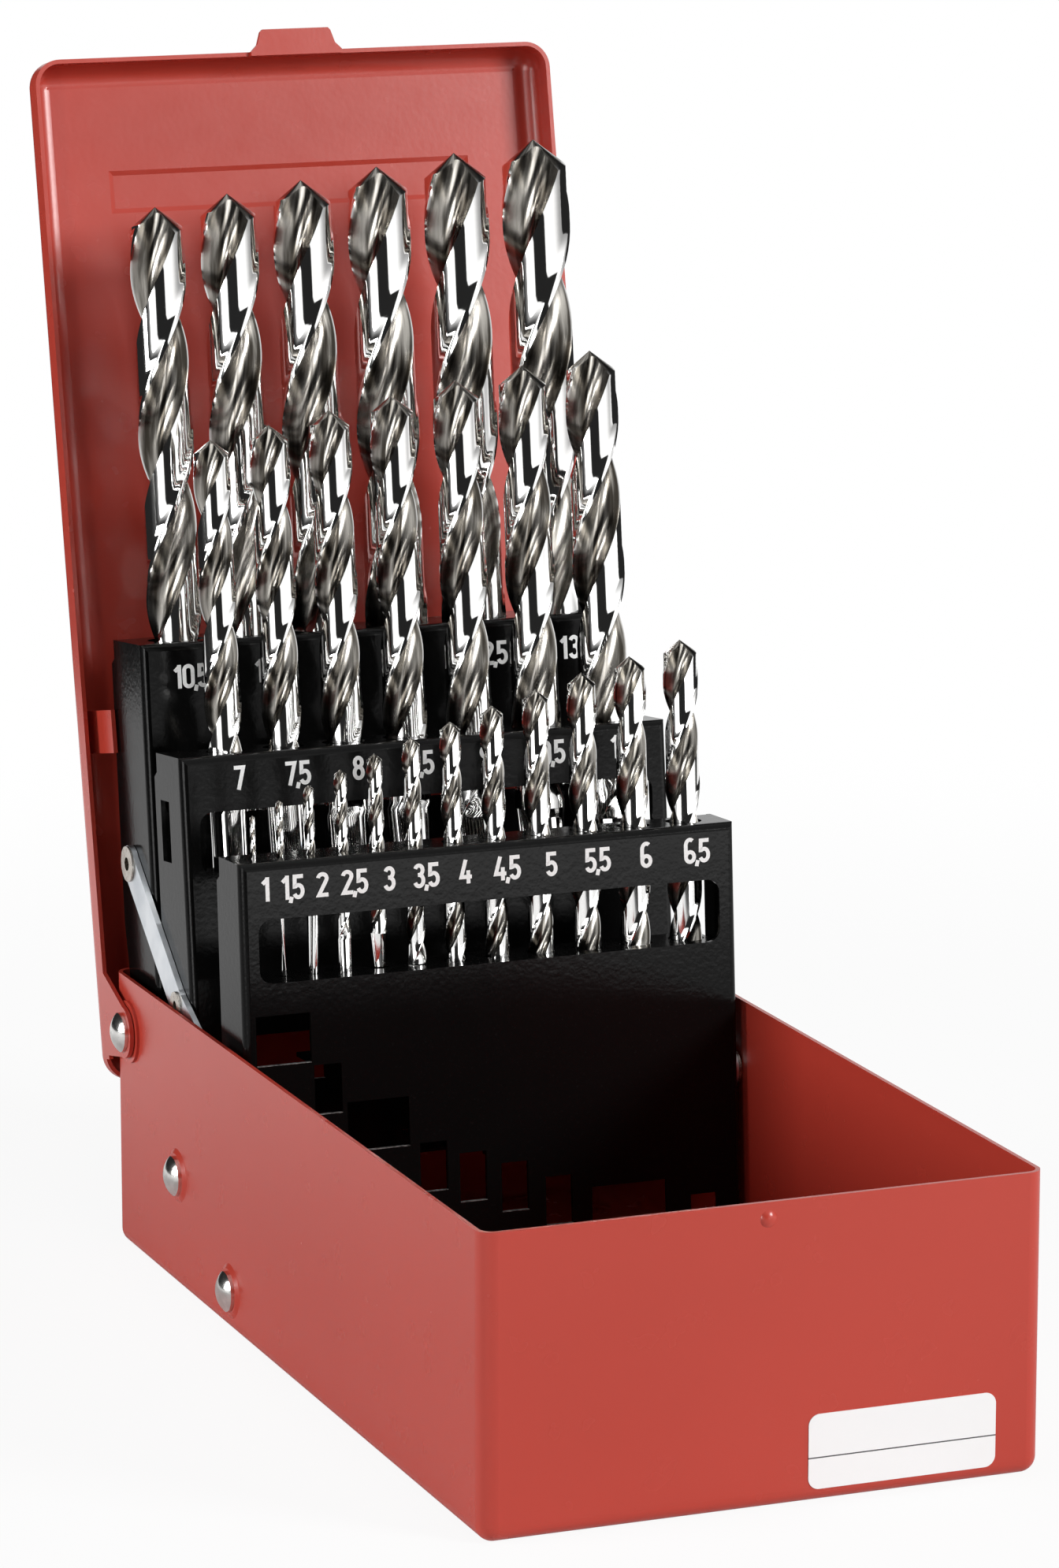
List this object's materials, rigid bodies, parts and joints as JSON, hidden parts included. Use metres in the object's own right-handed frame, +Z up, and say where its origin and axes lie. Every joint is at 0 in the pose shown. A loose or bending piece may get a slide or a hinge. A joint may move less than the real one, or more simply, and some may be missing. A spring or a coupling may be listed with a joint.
{
  "type": "drill bit case",
  "caption": "Folding sheet-metal drill index: a tray with a hinged lid and stepped racks that rise with it, holding graduated twist drills.",
  "frame": {"origin": "middle of the tray's flat underside", "axes": "+X to the right, +Y towards the hinge side at the back, +Z up"},
  "size_m": [0.1098, 0.2382, 0.228],
  "materials": {
    "red_paint": "satin",
    "black_paint": "gloss",
    "zinc": "satin",
    "nickel": "polished",
    "label": "matte",
    "drill_steel": "ground"
  },
  "bodies": {
    "tray": {"tray": "red_paint", "hinge_rivets": "nickel", "middle_rack_rivets": "nickel", "front_rack_rivets": "nickel", "size_label": "label"},
    "lid": {"lid": "red_paint"},
    "back_rack": {"back_rack": "black_paint", "back_link_eyelets": "nickel"},
    "middle_rack": {"middle_rack": "black_paint", "middle_link_rivets": "zinc"},
    "front_rack": {"front_rack": "black_paint", "front_link_rivets": "zinc"},
    "link_arms": {"link_arm_left": "zinc", "link_arm_right": "zinc"},
    "drill_1_0": {"drill_1_0": "drill_steel"},
    "drill_1_5": {"drill_1_5": "drill_steel"},
    "drill_2_0": {"drill_2_0": "drill_steel"},
    "drill_2_5": {"drill_2_5": "drill_steel"},
    "drill_3_0": {"drill_3_0": "drill_steel"},
    "drill_3_5": {"drill_3_5": "drill_steel"},
    "drill_4_0": {"drill_4_0": "drill_steel"},
    "drill_4_5": {"drill_4_5": "drill_steel"},
    "drill_5_0": {"drill_5_0": "drill_steel"},
    "drill_5_5": {"drill_5_5": "drill_steel"},
    "drill_6_0": {"drill_6_0": "drill_steel"},
    "drill_6_5": {"drill_6_5": "drill_steel"},
    "drill_7_0": {"drill_7_0": "drill_steel"},
    "drill_7_5": {"drill_7_5": "drill_steel"},
    "drill_8_0": {"drill_8_0": "drill_steel"},
    "drill_8_5": {"drill_8_5": "drill_steel"},
    "drill_9_0": {"drill_9_0": "drill_steel"},
    "drill_9_5": {"drill_9_5": "drill_steel"},
    "drill_10_0": {"drill_10_0": "drill_steel"},
    "drill_10_5": {"drill_10_5": "drill_steel"},
    "drill_11_0": {"drill_11_0": "drill_steel"},
    "drill_11_5": {"drill_11_5": "drill_steel"},
    "drill_12_0": {"drill_12_0": "drill_steel"},
    "drill_12_5": {"drill_12_5": "drill_steel"},
    "drill_13_0": {"drill_13_0": "drill_steel"}
  },
  "joints": [
    {"name": "lid_hinge", "type": "hinge", "parent": "tray", "child": "lid", "pos_m": [0, 0.0877, 0.0435], "axis": [-1, 0, 0], "range_deg": [-101.4, 0]},
    {"name": "back_rack_hinge", "type": "hinge", "parent": "tray", "child": "back_rack", "pos_m": [0, 0.0877, 0.0435], "axis": [-1, 0, 0], "range_deg": [-96.61, 0]},
    {"name": "middle_rack_hinge", "type": "hinge", "parent": "tray", "child": "middle_rack", "pos_m": [0, 0.0599, 0.0224], "axis": [-1, 0, 0], "range_deg": [-96.61, 0]},
    {"name": "front_rack_hinge", "type": "hinge", "parent": "tray", "child": "front_rack", "pos_m": [0, 0.0303, 0.0083], "axis": [-1, 0, 0], "range_deg": [-93.81, 0]},
    {"name": "link_arm_hinge", "type": "hinge", "parent": "back_rack", "child": "link_arms", "pos_m": [0, 0.09138, 0.07529], "axis": [-1, 0, 0], "range_deg": [0, 96.61]},
    {"name": "drill_1_0_slide", "type": "slide", "parent": "front_rack", "child": "drill_1_0", "axis": [0, 0.0663, 0.9978], "range_m": [0, 0.0313]},
    {"name": "drill_1_5_slide", "type": "slide", "parent": "front_rack", "child": "drill_1_5", "axis": [0, 0.0663, 0.9978], "range_m": [0, 0.0313]},
    {"name": "drill_2_0_slide", "type": "slide", "parent": "front_rack", "child": "drill_2_0", "axis": [0, 0.0663, 0.9978], "range_m": [0, 0.0412]},
    {"name": "drill_2_5_slide", "type": "slide", "parent": "front_rack", "child": "drill_2_5", "axis": [0, 0.0663, 0.9978], "range_m": [0, 0.0487]},
    {"name": "drill_3_0_slide", "type": "slide", "parent": "front_rack", "child": "drill_3_0", "axis": [0, 0.0663, 0.9978], "range_m": [0, 0.0487]},
    {"name": "drill_3_5_slide", "type": "slide", "parent": "front_rack", "child": "drill_3_5", "axis": [0, 0.0663, 0.9978], "range_m": [0, 0.0577]},
    {"name": "drill_4_0_slide", "type": "slide", "parent": "front_rack", "child": "drill_4_0", "axis": [0, 0.0663, 0.9978], "range_m": [0, 0.0604]},
    {"name": "drill_4_5_slide", "type": "slide", "parent": "front_rack", "child": "drill_4_5", "axis": [0, 0.0663, 0.9978], "range_m": [0, 0.0631]},
    {"name": "drill_5_0_slide", "type": "slide", "parent": "front_rack", "child": "drill_5_0", "axis": [0, 0.0663, 0.9978], "range_m": [0, 0.0666]},
    {"name": "drill_5_5_slide", "type": "slide", "parent": "front_rack", "child": "drill_5_5", "axis": [0, 0.0663, 0.9978], "range_m": [0, 0.0695]},
    {"name": "drill_6_0_slide", "type": "slide", "parent": "front_rack", "child": "drill_6_0", "axis": [0, 0.0663, 0.9978], "range_m": [0, 0.0695]},
    {"name": "drill_6_5_slide", "type": "slide", "parent": "front_rack", "child": "drill_6_5", "axis": [0, 0.0663, 0.9978], "range_m": [0, 0.073]},
    {"name": "drill_7_0_slide", "type": "slide", "parent": "middle_rack", "child": "drill_7_0", "axis": [0, 0.1149, 0.9934], "range_m": [0, 0.056]},
    {"name": "drill_7_5_slide", "type": "slide", "parent": "middle_rack", "child": "drill_7_5", "axis": [0, 0.1149, 0.9934], "range_m": [0, 0.056]},
    {"name": "drill_8_0_slide", "type": "slide", "parent": "middle_rack", "child": "drill_8_0", "axis": [0, 0.1149, 0.9934], "range_m": [0, 0.0605]},
    {"name": "drill_8_5_slide", "type": "slide", "parent": "middle_rack", "child": "drill_8_5", "axis": [0, 0.1149, 0.9934], "range_m": [0, 0.0605]},
    {"name": "drill_9_0_slide", "type": "slide", "parent": "middle_rack", "child": "drill_9_0", "axis": [0, 0.1149, 0.9934], "range_m": [0, 0.0645]},
    {"name": "drill_9_5_slide", "type": "slide", "parent": "middle_rack", "child": "drill_9_5", "axis": [0, 0.1149, 0.9934], "range_m": [0, 0.0645]},
    {"name": "drill_10_0_slide", "type": "slide", "parent": "middle_rack", "child": "drill_10_0", "axis": [0, 0.1149, 0.9934], "range_m": [0, 0.069]},
    {"name": "drill_10_5_slide", "type": "slide", "parent": "back_rack", "child": "drill_10_5", "axis": [0, 0.1149, 0.9934], "range_m": [0, 0.057]},
    {"name": "drill_11_0_slide", "type": "slide", "parent": "back_rack", "child": "drill_11_0", "axis": [0, 0.1149, 0.9934], "range_m": [0, 0.064]},
    {"name": "drill_11_5_slide", "type": "slide", "parent": "back_rack", "child": "drill_11_5", "axis": [0, 0.1149, 0.9934], "range_m": [0, 0.0625]},
    {"name": "drill_12_0_slide", "type": "slide", "parent": "back_rack", "child": "drill_12_0", "axis": [0, 0.1149, 0.9934], "range_m": [0, 0.069]},
    {"name": "drill_12_5_slide", "type": "slide", "parent": "back_rack", "child": "drill_12_5", "axis": [0, 0.1149, 0.9934], "range_m": [0, 0.067]},
    {"name": "drill_13_0_slide", "type": "slide", "parent": "back_rack", "child": "drill_13_0", "axis": [0, 0.1149, 0.9934], "range_m": [0, 0.066]}
  ],
  "couplings": [
    {"joint": "back_rack_hinge", "follows": "lid_hinge", "ratio": 0.95266},
    {"joint": "middle_rack_hinge", "follows": "lid_hinge", "ratio": 0.95266},
    {"joint": "front_rack_hinge", "follows": "lid_hinge", "ratio": 0.92505},
    {"joint": "link_arm_hinge", "follows": "lid_hinge", "ratio": -0.95266}
  ]
}
